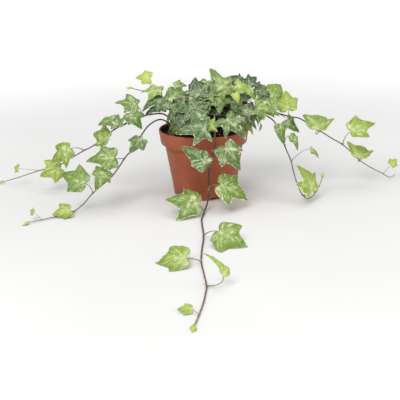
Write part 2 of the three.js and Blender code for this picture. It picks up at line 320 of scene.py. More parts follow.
# radius and height in millimetres from the middle of the underside, out and up to the rim and
# down inside
potProfile = [
    (17.2, 0.0), (18.0, 0.25), (18.6, 1.0), (19.6, 3.4), (20.4, 4.0), (34.4, 4.0),
    (35.3, 3.5), (36.4, 0.7), (37.0, 0.2), (37.6, 0.0), (40.7, 0.0), (41.3, 0.25), (41.6, 0.8),
    (44.9, 22.0), (48.3, 43.0), (51.3, 61.8), (51.9, 65.2), (51.75, 65.9), (51.55, 66.5),
    (51.6, 67.2), (52.0, 67.9), (56.6, 71.1), (57.3, 71.6), (57.75, 72.4), (57.9, 73.4),
    (58.9, 80.0), (59.75, 86.2), (59.95, 87.2), (60.0, 88.6), (59.85, 89.4), (59.4, 89.9),
    (58.8, 90.0), (58.35, 89.75), (58.15, 89.2), (58.0, 88.0), (57.0, 80.0), (56.1, 73.2),
    (55.7, 72.2), (50.9, 67.6), (50.4, 66.8), (50.1, 65.4), (46.7, 43.0), (43.4, 22.0),
    (41.2, 8.0), (40.4, 6.2), (38.6, 5.6), (20.0, 5.6), (19.0, 5.0), (17.2, 2.0), (16.2, 1.6),
]


def makePotMaterial():
    material, tree, shader = newMaterial("mouldedPotPlastic")
    place = objectPlace(tree)
    cloud = noiseOf(tree, place, 22.0, 4.0, 0.6)
    fine = noiseOf(tree, place, 900.0, 2.0, 0.6)
    split = addNode(tree, "ShaderNodeSeparateXYZ")
    tree.links.new(place, split.inputs[0])
    height = split.outputs[2]
    # faint flow marks of the mould, long round the pot and fine up it
    stretched = addNode(tree, "ShaderNodeMapping")
    stretched.inputs["Scale"].default_value = (60, 60, 900)
    tree.links.new(place, stretched.inputs["Vector"])
    flow = noiseOf(tree, stretched.outputs[0], 1.0, 2.0, 0.5)
    tone = calc(tree, "ADD", calc(tree, "MULTIPLY", cloud, 0.7),
                calc(tree, "MULTIPLY", flow, 0.3))
    colour = blendColour(tree, remap(tree, tone, 0.35, 0.68), potLook["dark"],
                         potLook["colour"])
    dust = remap(tree, noiseOf(tree, place, 140.0, 5.0, 0.7), 0.60, 0.78, 0.0, 0.22)
    colour = blendColour(tree, dust, colour, potLook["dust"])
    # painted shade: the inner wall above the soil is darkened near-black as the shadow inside
    # the rim, and mottled by noise
    flat = addNode(tree, "ShaderNodeVectorMath", operation="MULTIPLY")
    tree.links.new(place, flat.inputs[0])
    flat.inputs[1].default_value = (1, 1, 0)
    bandFoot, bandTop = potLook["bandFoot"] * mm, potLook["bandTop"] * mm
    lowMiddle, highMiddle = (radius * mm for radius in potLook["bandMiddles"])
    middleOfWall = remap(tree, height, bandFoot, bandTop, lowMiddle, highMiddle, "LINEAR")
    inside = calc(tree, "LESS_THAN", lengthOf(tree, flat.outputs[0]), middleOfWall)
    low = remap(tree, height, potLook["innerShadeFrom"] * mm, potLook["innerShadeFull"] * mm)
    innerShade = calc(tree, "MULTIPLY", calc(tree, "MULTIPLY", inside, low),
                 calc(tree, "GREATER_THAN", height, bandFoot))
    # noise breaks up the painted shade unevenly
    shadeMottle = remap(tree, noiseOf(tree, place, 210.0, 4.0, 0.7), 0.3, 0.6, 0.55, 0.95)
    colour = blendColour(tree, calc(tree, "MULTIPLY", innerShade, shadeMottle), colour, potLook["innerShade"])
    tree.links.new(colour, shader.inputs["Base Color"])
    rough = remap(tree, cloud, 0.3, 0.7, 0.42, 0.56)
    tree.links.new(rough, shader.inputs["Roughness"])
    grain = calc(tree, "ADD", fine, calc(tree, "MULTIPLY", flow, 0.8))
    tree.links.new(bumpOf(tree, grain, 0.00012, 0.5), shader.inputs["Normal"])
    setShader(shader, specular=0.45)
    return material


def extrudeTo(fromRadius, toRadius, rise):
    bpy.ops.mesh.extrude_edges_move(TRANSFORM_OT_translate={"value": (0, 0, rise)})
    share = toRadius / fromRadius
    bpy.ops.transform.resize(value=(share, share, 1), center_override=(0, 0, 0))


def drainPot(pot):
    # holes through the floor, and gaps in the foot ring halfway between them
    cutters = []
    holeRing, archRing = potLook["holeRing"] * mm, potLook["archRing"] * mm
    for i in range(potLook["holes"]):
        turn = i / potLook["holes"] * math.tau
        bpy.ops.mesh.primitive_cylinder_add(
            vertices=24, radius=potLook["holeRadius"] * mm, depth=14 * mm,
            location=(holeRing * math.cos(turn), holeRing * math.sin(turn), 4 * mm))
        cutters.append(bpy.context.object)
        turn += math.pi / potLook["holes"]
        bpy.ops.mesh.primitive_cube_add(
            size=1, location=(archRing * math.cos(turn), archRing * math.sin(turn), 0),
            rotation=(0, 0, turn), scale=[side * mm for side in potLook["archSize"]])
        cutters.append(bpy.context.object)
    cutter = joinAll(cutters, "pot_cutter")
    applyPlace(cutter)
    cut = pot.modifiers.new("holes", "BOOLEAN")
    cut.object = cutter
    cut.solver = "EXACT"
    applyModifiers(pot)
    bpy.data.objects.remove(cutter)


def makePot():
    radius, height = potProfile[0]
    bpy.ops.mesh.primitive_circle_add(vertices=potLook["segments"], radius=radius * mm,
                                      location=(0, 0, height * mm), fill_type="NGON")
    pot = nameActive("nursery_pot")
    applyPlace(pot)
    bpy.ops.object.mode_set(mode="EDIT")
    bpy.ops.mesh.select_mode(type="EDGE")
    for nextRadius, nextHeight in potProfile[1:]:
        extrudeTo(radius, nextRadius, (nextHeight - height) * mm)
        radius, height = nextRadius, nextHeight
    bpy.ops.mesh.edge_face_add()  # closes the floor inside
    bpy.ops.mesh.select_all(action="SELECT")
    bpy.ops.mesh.remove_doubles(threshold=1e-6)
    bpy.ops.mesh.normals_make_consistent(inside=False)
    bpy.ops.object.mode_set(mode="OBJECT")
    drainPot(pot)
    smooth(pot, potLook["smoothAngle"])
    giveFinish(pot, makePotMaterial())
    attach(pot, "root")
    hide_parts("pot")
    print("pot ready,", len(pot.data.polygons), "faces")


soilLook = {  # lengths are in millimetres
    "rings": 26,
    "segments": 96,
    "edgeHeight": 82.0,
    "radius": 57.0,
    "crown": 2.0,  # the middle is higher than the edge
    "roughness": 1.6,
    "lumps": [(95, 0, 1.3), (260, 7, 0.7), (620, 3, 0.3)],  # scale, noise layer and height
    "sideHeights": (73.0, 66.0, 30.0, 6.2),
    "bandWall": (72, 55.9, 0.135),  # height, radius there and its growth with the height
    "bodyWall": (67, 50.1, 0.158),
    "colours": (rgb(28, 20, 15), rgb(72, 52, 38), rgb(128, 100, 76)),
    "perliteColours": (rgb(176, 168, 155), rgb(226, 222, 212)),
}

grainLook = {  # lengths are in millimetres
    "soil_crumbs": {"count": 520, "sizes": (1.2, 4.2), "seed": 5, "squeeze": 0.6},
    "soil_perlite": {"count": 60, "sizes": (1.0, 2.4), "seed": 11, "squeeze": 0.8},
    "reach": 55.5,
    "lift": 0.12,  # of its size, so that it's partly sunk in the soil
    "tilt": 0.6,
    "lumps": 0.4,
}


def soilInnerRadius(height):
    # inside of the pot less a hair, in millimetres
    bandFoot, bandRadius, bandGrowth = soilLook["bandWall"]
    if height > bandFoot:
        return bandRadius + (height - bandFoot) * bandGrowth
    bodyTop, bodyRadius, bodyGrowth = soilLook["bodyWall"]
    return bodyRadius - (bodyTop - min(height, bodyTop)) * bodyGrowth


def soilTop(x, y):
    # height of the soil's surface in metres
    radius = math.hypot(x, y) / (soilLook["radius"] * mm)
    base = soilLook["edgeHeight"] + soilLook["crown"] * (1 - radius * radius)
    lumps = sum(noise.noise(Vector((x, y, layer)) * scale) * height
                for scale, layer, height in soilLook["lumps"])
    edge = clamp((1.0 - radius) * 9)  # the lumps are lower along the wall
    return (base + lumps * soilLook["roughness"] * (0.35 + 0.65 * edge)) * mm


def makeSoilMaterials():
    material, tree, shader = newMaterial("peatPottingSoil")
    place = objectPlace(tree)
    coarse = noiseOf(tree, place, 260.0, 5.0, 0.7)
    fine = noiseOf(tree, place, 1300.0, 3.0, 0.7)
    dark, brown, fibre = soilLook["colours"]
    colour = blendColour(tree, remap(tree, coarse, 0.35, 0.66), dark, brown)
    fleck = remap(tree, fine, 0.66, 0.74)
    colour = blendColour(tree, calc(tree, "MULTIPLY", fleck, 0.6), colour, fibre)
    tree.links.new(colour, shader.inputs["Base Color"])
    setShader(shader, roughness=0.95, specular=0.2)
    height = calc(tree, "ADD", coarse, calc(tree, "MULTIPLY", fine, 0.5))
    tree.links.new(bumpOf(tree, height, 0.0012, 0.9), shader.inputs["Normal"])

    white, whiteTree, whiteShader = newMaterial("perlite")
    pore = noiseOf(whiteTree, objectPlace(whiteTree), 1500.0, 3.0, 0.6)
    tone = blendColour(whiteTree, remap(whiteTree, pore, 0.35, 0.6),
                       *soilLook["perliteColours"])
    whiteTree.links.new(tone, whiteShader.inputs["Base Color"])
    setShader(whiteShader, roughness=0.85)
    whiteTree.links.new(bumpOf(whiteTree, pore, 0.0004, 0.8), whiteShader.inputs["Normal"])
    return material, white


def scatterGrains(name, material):
    # one lumpy grain is shaped, and its copies lie about on the soil
    look = grainLook[name]
    draw = random.Random(look["seed"])
    shift = Vector((look["seed"], 0, 0))
    tilt = grainLook["tilt"]
    bpy.ops.mesh.primitive_ico_sphere_add(subdivisions=1, radius=0.5)
    grain = nameActive(name + "_master")
    bpy.ops.object.mode_set(mode="EDIT")
    bpy.ops.transform.resize(value=(1, 0.8, look["squeeze"]))
    edit = bmesh.from_edit_mesh(grain.data)
    for vert in edit.verts:
        vert.co *= 1 + grainLook["lumps"] * noise.noise(vert.co * 3 + shift)
    bmesh.update_edit_mesh(grain.data)
    bpy.ops.object.mode_set(mode="OBJECT")
    copies = []
    while len(copies) < look["count"]:
        radius = math.sqrt(draw.random()) * grainLook["reach"] * mm
        turn = draw.uniform(0, math.tau)
        x, y = radius * math.cos(turn), radius * math.sin(turn)
        size = draw.uniform(*look["sizes"]) * mm
        copy = grain.copy()
        copy.data = grain.data.copy()
        bpy.context.collection.objects.link(copy)
        copy.location = (x, y, soilTop(x, y) + size * grainLook["lift"])
        copy.rotation_euler = [draw.uniform(-tilt, tilt), draw.uniform(-tilt, tilt),
                               draw.uniform(0, math.tau)]
        copy.scale = (size, size, size)
        copies.append(copy)
    bpy.data.objects.remove(grain)
    grains = joinAll(copies, name)
    applyPlace(grains)
    smooth(grains, 50)
    giveFinish(grains, material)
    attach(grains, "root")


def makeSoil():
    peat, perlite = makeSoilMaterials()
    height = soilLook["edgeHeight"]
    radius = soilInnerRadius(height)
    edgeRadius = radius * mm
    bpy.ops.mesh.primitive_circle_add(vertices=soilLook["segments"], radius=edgeRadius,
                                      location=(0, 0, height * mm), fill_type="NGON")
    soil = nameActive("soil_plug")
    applyPlace(soil)
    bpy.ops.object.mode_set(mode="EDIT")
    bpy.ops.mesh.select_mode(type="FACE")
    rings = soilLook["rings"]
    for _ in range(rings):
        bpy.ops.mesh.inset(thickness=edgeRadius / (rings + 1), depth=0)
    bpy.ops.mesh.poke()
    edit = bmesh.from_edit_mesh(soil.data)
    for vert in edit.verts:
        if math.hypot(vert.co.x, vert.co.y) < edgeRadius * 0.999:
            vert.co.z = soilTop(vert.co.x, vert.co.y)
    # the side goes down inside the pot
    for edge in edit.edges:
        edge.select_set(edge.is_boundary)
    bmesh.update_edit_mesh(soil.data)
    bpy.ops.mesh.select_mode(type="EDGE")
    for nextHeight in soilLook["sideHeights"]:
        nextRadius = soilInnerRadius(nextHeight)
        extrudeTo(radius, nextRadius, (nextHeight - height) * mm)
        radius, height = nextRadius, nextHeight
    bpy.ops.mesh.edge_face_add()
    bpy.ops.mesh.select_all(action="SELECT")
    bpy.ops.mesh.normals_make_consistent(inside=False)
    bpy.ops.object.mode_set(mode="OBJECT")
    smooth(soil, 60)
    giveFinish(soil, peat)
    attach(soil, "root")
    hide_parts("potting_soil")
    scatterGrains("soil_crumbs", peat)
    scatterGrains("soil_perlite", perlite)
    print("soil ready")


# a shoot's "route" goes from the soil to its tip in millimetres, as the solid model has it, and
# "radii" are the stem's at both ends. "places" are the points of the route where the leaves
# grow, "youth" is how light and yellow each leaf is, and "shapes" is b for a broad leaf, a for
# a narrower one, h for a heart-shaped one, s for a slender one, d for one with deep bays and w
# for a wide one with a straight base. By a leaf's number from 0, "trim" scales its length,
# "turn" turns it on its petiole by degrees, "cream" says how much cream it has, and "seeds"
# draws its curl again
shoots = {
    "front": {
        "radii": (1.2, 0.7),
        "places": [2, 5, 4, 7, 9, 11, 13, 15, 17],
        "youth": [0.12, 0.15, 0.18, 0.38, 0.36, 0.42, 0.55, 0.7, 0.75],
        "shapes": "dabwwwwsb",
        "turn": {6: -26},
        "trim": {2: 1.02, 6: 1.07, 7: 1.1},
        "seeds": {5: 1080},
        "cream": {3: 1.0, 4: 0.9, 5: 0.45, 6: 0.45},
        "route": [
            (10, -24, 84), (12, -36, 96), (14, -52, 99), (14, -64, 92), (13, -67, 76),
            (8, -68, 58), (5, -69, 42), (5, -72, 26), (3, -80, 12), (-2, -96, 3), (-5, -119, 2),
            (-3, -175, 2), (-5, -216, 2), (-6, -254, 2), (-3, -290, 2), (-1, -317, 2),
            (-3, -345, 2), (-8, -379, 2), (-13, -406, 3),
        ],
    },
    "left_low": {
        "radii": (1.1, 0.5),
        "places": [4, 6, 7, 8, 10, 12],
        "youth": [0.15, 0.3, 0.35, 0.36, 0.65, 0.8],
        "shapes": "bbbwbw",
        "trim": {0: 0.88},
        "cream": {3: 0.35},
        "route": [
            (-43, -6, 84), (-46, -7, 98), (-56, -12, 105), (-70, -21, 101), (-82, -31, 88),
            (-90, -38, 77), (-103, -48, 63), (-118, -58, 44), (-145, -66, 22), (-158, -71, 9),
            (-169, -77, 2), (-185, -92, 2), (-205, -106, 2), (-220, -118, 3),
        ],
    },
    "left_high": {
        "radii": (1.1, 0.5),
        "places": [3, 5, 4, 3, 6, 8, 10, 11],
        "youth": [0.3, 0.3, 0.2, 0.22, 0.45, 0.5, 0.7, 0.8],
        "shapes": "bhdbwwbb",
        "trim": {1: 0.88},
        "cream": {4: 1.0, 5: 1.0},
        "route": [
            (-41, 6, 84), (-44, 5, 100), (-54, 4, 109), (-82, 4, 106), (-100, 5, 99),
            (-118, 7, 90), (-135, 9, 78), (-152, 11, 65), (-164, 13, 59), (-185, 18, 46),
            (-200, 22, 37), (-232, 34, 26), (-262, 46, 14), (-292, 58, 3),
        ],
    },
    "upper_left": {
        "radii": (1, 0.5),
        "places": [4, 3, 2],
        "youth": [0.9, 0.5, 0.1],
        "shapes": "bbb",
        "route": [
            (-34, 16, 84), (-40, 16, 104), (-48, 20, 122), (-60, 25, 131), (-74, 30, 134),
            (-98, 40, 138),
        ],
    },
    "right_long": {
        "radii": (1.1, 0.5),
        "places": [3, 5, 8, 10, 12, 14, 4],
        "youth": [0.42, 0.68, 0.5, 0.6, 0.6, 0.8, 0.2],
        "shapes": "hbwwwba",
        "trim": {2: 1.18, 4: 1.1},
        "cream": {0: 0.3, 1: 0.1},
        "route": [
            (40, 5, 84), (48, 4, 103), (62, 1, 113), (80, -3, 114), (99, 0, 107), (114, 2, 102),
            (129, 5, 98), (141, 7, 90), (157, 10, 79), (175, 13, 67), (189, 15, 58),
            (200, 18, 48), (215, 22, 33), (232, 26, 21), (250, 31, 10), (262, 36, 3),
            (269, 39, 6),
        ],
    },
    "right_short": {
        "radii": (1.1, 0.5),
        "places": [5, 6, 8, 12],
        "youth": [0.3, 0.3, 0.4, 0.62],
        "shapes": "aasb",
        "trim": {2: 1.5},
        "cream": {3: 1.0, 2: 0.9},
        "route": [
            (42, -12, 84), (48, -13, 100), (58, -15, 108), (72, -17, 110), (88, -20, 105),
            (97, -24, 94), (105, -32, 72), (109, -36, 62), (113, -40, 52), (115, -44, 43),
            (118, -48, 31), (122, -51, 19), (128, -52, 8), (134, -50, 3), (141, -45, 4),
            (148, -39, 10), (153, -34, 19), (156, -30, 27),
        ],
    },
    "crown_front_left": {
        "radii": (1.2, 0.8),
        "places": [1, 2, 3],
        "youth": [0, 0.14, 0.25],
        "shapes": "dab",
        "trim": {0: 0.62},
        "turn": {0: -45},
        "route": [
            (-20, -14, 84), (-22, -20, 98), (-24, -26, 110), (-25, -26, 122),
        ],
    },
    "crown_front_right": {
        "radii": (1.2, 0.8),
        "places": [1, 3, 3],
        "youth": [0.15, 0.3, 0.55],
        "shapes": "dda",
        "route": [
            (22, -10, 84), (26, -16, 98), (32, -22, 110), (36, -24, 122),
        ],
    },
    "crown_middle": {
        "radii": (1.2, 0.8),
        "places": [3, 2, 1],
        "youth": [0.35, 0.05, 0.1],
        "shapes": "ddd",
        "route": [
            (0, 6, 84), (2, 6, 104), (8, 4, 122), (14, 4, 136),
        ],
    },
    "crown_back": {
        "radii": (1.2, 0.8),
        "places": [3, 2],
        "youth": [0.05, 0.3],
        "shapes": "bb",
        "route": [
            (10, 26, 84), (14, 32, 102), (20, 37, 120), (24, 40, 134),
        ],
    },
}

stemLook = {  # lengths are in millimetres
    "footHeight": 70,  # where the stem starts inside the soil
    "sampleStep": 3.2,
    "nodeSwelling": 0.42,
    "nodeWidth": 2.4,
    "unevenness": 0.08,
    "wander": 0.35,
    "endSamples": 6,  # over these it doesn't wander
    "bark": (rgb(98, 74, 70), rgb(128, 102, 90), rgb(150, 138, 104)),
    "nodeColour": rgb(186, 172, 134),
}

petioleLook = {  # lengths are in millimetres
    "radii": (0.58, 0.42),
    "samples": 11,
    "reach": (0.36, 0.75),  # of the leaf's length, and at most of the way to the stem
    "sag": 0.36,
    "fullLeaf": 26,  # a leaf of this length has a petiole of full thickness
    "scales": (0.55, 1.15),
    "colours": (rgb(118, 104, 86), rgb(160, 158, 116)),
}


def makeStemMaterial():
    material, tree, shader = newMaterial("ivyStem")
    youth, petiole, node = attributeParts(tree, "bark")
    speckle = noiseOf(tree, objectPlace(tree), 520.0, 4.0, 0.65)
    old, ripe, young = stemLook["bark"]
    bark = youthRamp(tree, youth, [(0.15, old), (0.8, ripe), (1.0, young)])
    stalk = blendColour(tree, youth, *petioleLook["colours"])
    colour = blendColour(tree, petiole, bark, stalk)
    colour = blendColour(tree, calc(tree, "MULTIPLY", node, 0.8), colour,
                         stemLook["nodeColour"])
    shade = remap(tree, speckle, 0.35, 0.68, 0.62, 1.12)
    colour = blendColour(tree, 1.0, colour, vectorOf(tree, shade, shade, shade), "MULTIPLY")
    tree.links.new(colour, shader.inputs["Base Color"])
    setShader(shader, roughness=0.62, specular=0.35)
    tree.links.new(bumpOf(tree, speckle, 0.0003, 0.6), shader.inputs["Normal"])
    return material


def throughPoints(points, step):
    # samples of a smooth line through the points, about a step apart
    ends = [points[0] * 2 - points[1]] + points + [points[-1] * 2 - points[-2]]
    samples = []
    for i in range(len(points) - 1):
        four = ends[i:i + 4]
        gaps = [max(1e-6, (four[k + 1] - four[k]).length ** 0.5) for k in range(3)]
        startSlope = ((four[1] - four[0]) / gaps[0] - (four[2] - four[0]) / (gaps[0] + gaps[1])
                      + (four[2] - four[1]) / gaps[1]) * gaps[1]
        endSlope = ((four[2] - four[1]) / gaps[1] - (four[3] - four[1]) / (gaps[1] + gaps[2])
                    + (four[3] - four[2]) / gaps[2]) * gaps[1]
        count = max(2, round((four[2] - four[1]).length / step))
        for k in range(count):
            t = k / count
            point = four[1] * (2 * t**3 - 3 * t**2 + 1) + startSlope * (t**3 - 2 * t**2 + t)
            point += four[2] * (3 * t**2 - 2 * t**3) + endSlope * (t**3 - t**2)
            samples.append(point)
    samples.append(points[-1].copy())
    return samples


def bentLine(start, bend, end, count):
    line = []
    for k in range(count):
        t = k / (count - 1)
        line.append(start * (1 - t)**2 + bend * (2 * t * (1 - t)) + end * t**2)
    return line


def tubesFrom(lines, name, sides):
    # one curve object with a tube along each line; a line's rows are point, radius and bark
    curve = bpy.data.curves.new(name, "CURVE")
    curve.dimensions = "3D"
    curve.bevel_depth = mm
    curve.bevel_resolution = sides
    curve.use_fill_caps = True
    for line in lines:
        spline = curve.splines.new("POLY")
        spline.points.add(len(line) - 1)
        for knot, row in zip(spline.points, line):
            knot.co = (*row[0], 1)
            knot.radius = row[1]
    tube = bpy.data.objects.new(name, curve)
    bpy.context.collection.objects.link(tube)
    workOn(tube)
    bpy.ops.object.convert(target="MESH")
    tube = nameActive(name)
    rows = [row for line in lines for row in line]
    tree = KDTree(len(rows))
    for i, row in enumerate(rows):
        tree.insert(row[0], i)
    tree.balance()
    bark = tube.data.attributes.new("bark", "FLOAT_VECTOR", "POINT")
    for vert in tube.data.vertices:
        bark.data[vert.index].vector = rows[tree.find(vert.co)[1]][2]
    bpy.ops.object.mode_set(mode="EDIT")
    bpy.ops.mesh.select_all(action="SELECT")
    bpy.ops.mesh.remove_doubles(threshold=1e-6)
    bpy.ops.object.mode_set(mode="OBJECT")
    smooth(tube, 60)
    return tube


def petioleLine(start, leaf, youth):
    # it comes in between the two lowest lobes, in line with the blade
    size = leaf["length"]
    end = leaf["joint"] - leaf["along"] * (0.03 * size) - leaf["facing"] * (0.45 * mm)
    ofLeaf, ofGap = petioleLook["reach"]
    reach = min(ofLeaf * size, ofGap * (end - start).length)
    bend = end - leaf["along"] * reach - leaf["facing"] * (petioleLook["sag"] * reach)
    first, last = petioleLook["radii"]
    scale = clamp(size / (petioleLook["fullLeaf"] * mm), *petioleLook["scales"])
    rows = []
    count = petioleLook["samples"]
    for k, point in enumerate(bentLine(start, bend, end, count)):
        share = k / (count - 1)
        radius = (first + (last - first) * min(1.0, share * 1.6)) * scale
        # it's thicker where it leaves the stem, and a little at the blade
        radius *= 1 + 0.5 * math.exp(-(share / 0.07)**2) + 0.25 * clamp((share - 0.9) * 10)
        tone = clamp(0.25 + 0.75 * share + 0.4 * youth)
        low = max(point.z, (radius + 0.2) * mm)
        rows.append((Vector((point.x, point.y, low)), radius, (tone, 1.0, 0.0)))
    return rows


def stemLine(shoot, seed):
    points = [Vector(point) * mm for point in shoot["route"]]
    foot = points[0].copy()
    foot.z = stemLook["footHeight"] * mm
    samples = throughPoints([foot] + points, stemLook["sampleStep"] * mm)
    first, last = shoot["radii"]
    nodes = [points[place] for place in shoot["places"]]
    steady = stemLook["endSamples"]
    rows = []
    for i, point in enumerate(samples):
        share = i / (len(samples) - 1)
        near = min((point - node).length for node in nodes) / (stemLook["nodeWidth"] * mm)
        node = math.exp(-near * near)
        radius = first + (last - first) * share
        radius *= 1 + stemLook["nodeSwelling"] * node
        radius *= 1 + stemLook["unevenness"] * noise.noise(point * 300)
        if len(samples) - i < 4:  # the tip is blunt
            radius *= 0.55 + 0.15 * (len(samples) - i)
        offset = noise.noise_vector(point * 70 + Vector((seed, 0, 0)))
        offset *= stemLook["wander"] * mm * min(1, i / steady, (len(samples) - 1 - i) / steady)
        spot = point + offset
        spot.z = max(spot.z, (radius + 0.15) * mm)
        # a long shoot ends in new growth, and the short stems of the crown don't
        youth = clamp(share**1.6 * (1.0 if len(points) > 8 else 0.5))
        rows.append((spot, radius, (youth, 0.0, node)))
    return rows, points


# half of each outline: degrees from the middle lobe's tip, and distance from the petiole
leafOutlines = {
    "b": [(0, 1), (7, 0.89), (15, 0.75), (25, 0.63), (36, 0.58), (46, 0.66), (54, 0.77),
          (62, 0.68), (74, 0.55), (90, 0.49), (103, 0.50), (113, 0.51), (125, 0.42),
          (141, 0.31), (156, 0.20), (168, 0.12), (180, 0.05)],
    "a": [(0, 1), (8, 0.84), (17, 0.68), (29, 0.52), (42, 0.48), (54, 0.53), (64, 0.47),
          (80, 0.38), (100, 0.37), (120, 0.37), (145, 0.27), (165, 0.15), (180, 0.06)],
    "h": [(0, 1), (9, 0.86), (20, 0.72), (34, 0.64), (50, 0.61), (66, 0.55), (90, 0.49),
          (115, 0.47), (140, 0.40), (160, 0.25), (180, 0.08)],
    "s": [(0, 1), (9, 0.76), (20, 0.48), (36, 0.34), (55, 0.33), (75, 0.27), (100, 0.23),
          (130, 0.19), (160, 0.10), (180, 0.05)],
    "d": [(0, 1), (7, 0.88), (15, 0.70), (25, 0.53), (36, 0.47), (45, 0.58), (54, 0.83),
          (62, 0.66), (74, 0.48), (88, 0.42), (102, 0.49), (114, 0.60), (125, 0.45),
          (141, 0.28), (158, 0.17), (170, 0.10), (180, 0.05)],
    "w": [(0, 1), (7, 0.88), (15, 0.75), (25, 0.63), (35, 0.60), (45, 0.70), (53, 0.86),
          (60, 0.75), (71, 0.57), (85, 0.46), (98, 0.42), (110, 0.41), (123, 0.33),
          (142, 0.22), (160, 0.13), (180, 0.05)],
}
veinAngles = {"b": (0, 54, 112), "a": (0, 54, 115), "h": (0, 48, 105), "s": (0, 50, 110),
              "d": (0, 54, 114), "w": (0, 54, 112)}

leafLook = {
    "shapes": "bahsdw",
    "spokes": 40,
    "fineCuts": 7,
    "coarseCuts": 3,
    "rounding": 0.22,
    "thickness": 0.012,  # this and the next three are shares of the leaf's length
    "quilting": 0.034,
    "grooveWidth": 0.07,
    "waves": 0.042,
    "lowest": 0.7 * mm,
    "lean": 0.09,  # from here on, how far one leaf may differ from another
    "twist": 0.22,
    "widths": (0.93, 1.07),
    "waveScales": (0.5, 1.5),
    "tipDroop": (0.05, 0.55),
    "lobeDroop": (-0.12, 0.30),
    "lobeSize": (-0.16, 0.12),
    "sideLobe": (0.95, 0.38),  # its angle and its half-width, in radians
}


def outlineRadius(shape):
    # the corners are rounded a little, and the outline is read by its angle
    points = [(share * math.sin(math.radians(angle)), share * math.cos(math.radians(angle)))
              for angle, share in leafOutlines[shape]]
    far = leafLook["rounding"]
    near = 1 - far
    for _ in range(2):
        rounder = [points[0]]
        for (x1, y1), (x2, y2) in zip(points, points[1:]):
            rounder.append((x1 * near + x2 * far, y1 * near + y2 * far))
            rounder.append((x1 * far + x2 * near, y1 * far + y2 * near))
        points = rounder + [points[-1]]
    polar = sorted((abs(math.atan2(x, y)), math.hypot(x, y)) for x, y in points)

    def radiusAt(angle):
        angle = abs(angle)
        for (a1, r1), (a2, r2) in zip(polar, polar[1:]):
            if a1 <= angle <= a2:
                return r1 + (r2 - r1) * (angle - a1) / max(1e-9, a2 - a1)
        return polar[-1][1]
    return radiusAt


def nearestVein(x, y, angles):
    nearest = math.hypot(x, y)
    for degrees in angles:
        turn = math.radians(degrees)
        along = abs(x) * math.sin(turn) + y * math.cos(turn)
        if along > 0:
            nearest = min(nearest, abs(abs(x) * math.cos(turn) - y * math.sin(turn)))
    return nearest


def makeLeafMaster(shape, cuts):
    spokes = leafLook["spokes"]
    bpy.ops.mesh.primitive_circle_add(vertices=spokes, radius=1, fill_type="TRIFAN")
    leaf = nameActive("leaf_master_" + shape + str(cuts))
    bpy.ops.object.mode_set(mode="EDIT")
    bpy.ops.mesh.subdivide(number_cuts=cuts)
    edit = bmesh.from_edit_mesh(leaf.data)
    radiusAt = outlineRadius(shape)
    sector = math.tau / spokes
    shares = {}
    for vert in edit.verts:
        turn = math.atan2(vert.co.x, vert.co.y)
        within = (turn % sector) - sector / 2
        full = math.cos(sector / 2) / math.cos(within)
        share = min(1.0, math.hypot(vert.co.x, vert.co.y) / full)
        radius = share * radiusAt(turn)
        x, y = radius * math.sin(turn), radius * math.cos(turn)
        # the blade swells between its veins, and the veins lie in shallow grooves
        groove = nearestVein(x, y, veinAngles[shape]) / leafLook["grooveWidth"]
        swell = 1 - math.exp(-groove**2)
        vert.co = (x, y, leafLook["quilting"] * swell * (1 - share**4 * 0.6))
        shares[vert.index] = share
    bmesh.update_edit_mesh(leaf.data)
    bpy.ops.object.mode_set(mode="OBJECT")
    place = leaf.data.attributes.new("leafPlace", "FLOAT_VECTOR", "POINT")
    for vert in leaf.data.vertices:
        place.data[vert.index].vector = (vert.co.x, vert.co.y, shares[vert.index])
    leaf.data.attributes.new("leafKind", "FLOAT_VECTOR", "POINT")
    giveFinish(leaf, *leafMaterials)
    wall = leaf.modifiers.new("wall", "SOLIDIFY")
    wall.thickness = leafLook["thickness"]
    wall.offset = -1
    wall.material_offset = 1
    wall.use_even_offset = False
    applyModifiers(leaf)
    smooth(leaf, 75)
    return leaf


def placeLeaf(master, name, leaf, youth, cream, seed):
    # a copy of the master is bent to the leaf's own frame, cup and fold
    copy = master.copy()
    copy.data = master.data.copy()
    copy.name = copy.data.name = name
    bpy.context.collection.objects.link(copy)
    draw = random.Random(seed)
    size, fold, cup = leaf["length"], leaf["fold"], leaf["cup"]
    lean = draw.uniform(-leafLook["lean"], leafLook["lean"])
    twist = draw.uniform(-leafLook["twist"], leafLook["twist"])
    wide = draw.uniform(*leafLook["widths"])
    wave = leafLook["waves"] * draw.uniform(*leafLook["waveScales"])
    phase = draw.uniform(0, math.tau)
    tipDroop = draw.uniform(*leafLook["tipDroop"])
    lobeDroop = [draw.uniform(*leafLook["lobeDroop"]) for _ in range(2)]
    lobeSize = [draw.uniform(*leafLook["lobeSize"]) for _ in range(2)]
    lobeAngle, lobeWidth = leafLook["sideLobe"]
    places = copy.data.attributes["leafPlace"].data
    lowest = leafLook["lowest"]
    for vert in copy.data.vertices:
        x0, y0, share = places[vert.index].vector
        turn = math.atan2(x0, y0)
        half = 1 if x0 > 0 else 0
        lobe = 1 + lobeSize[half] * math.exp(-((abs(turn) - lobeAngle) / lobeWidth)**2)
        x = x0 * lobe * wide * (1 + lean * (1 if x0 > 0 else -1))
        y = y0 * lobe + lean * 0.4 * x0
        lift = fold * (math.hypot(x, 0.05) - 0.05) - cup * (x * x + y * y)
        lift += twist * x * y - tipDroop * max(0.0, y - 0.3)**2
        lift -= lobeDroop[half] * max(0.0, abs(x) - 0.25)**2 * 3
        lift += wave * share**3 * math.sin(turn * 5 + phase)
        point = leaf["joint"] + (leaf["across"] * x + leaf["along"] * y
                                 + leaf["facing"] * (lift + vert.co.z)) * size
        if point.z < lowest + vert.co.z * size:  # it lies on the surface
            point.z = lowest + vert.co.z * size * 0.35
        vert.co = point
    kinds = copy.data.attributes["leafKind"].data
    values = [youth, draw.random(), cream] * len(kinds)
    kinds.foreach_set("vector", values)
    copy.data.update()
    return copy


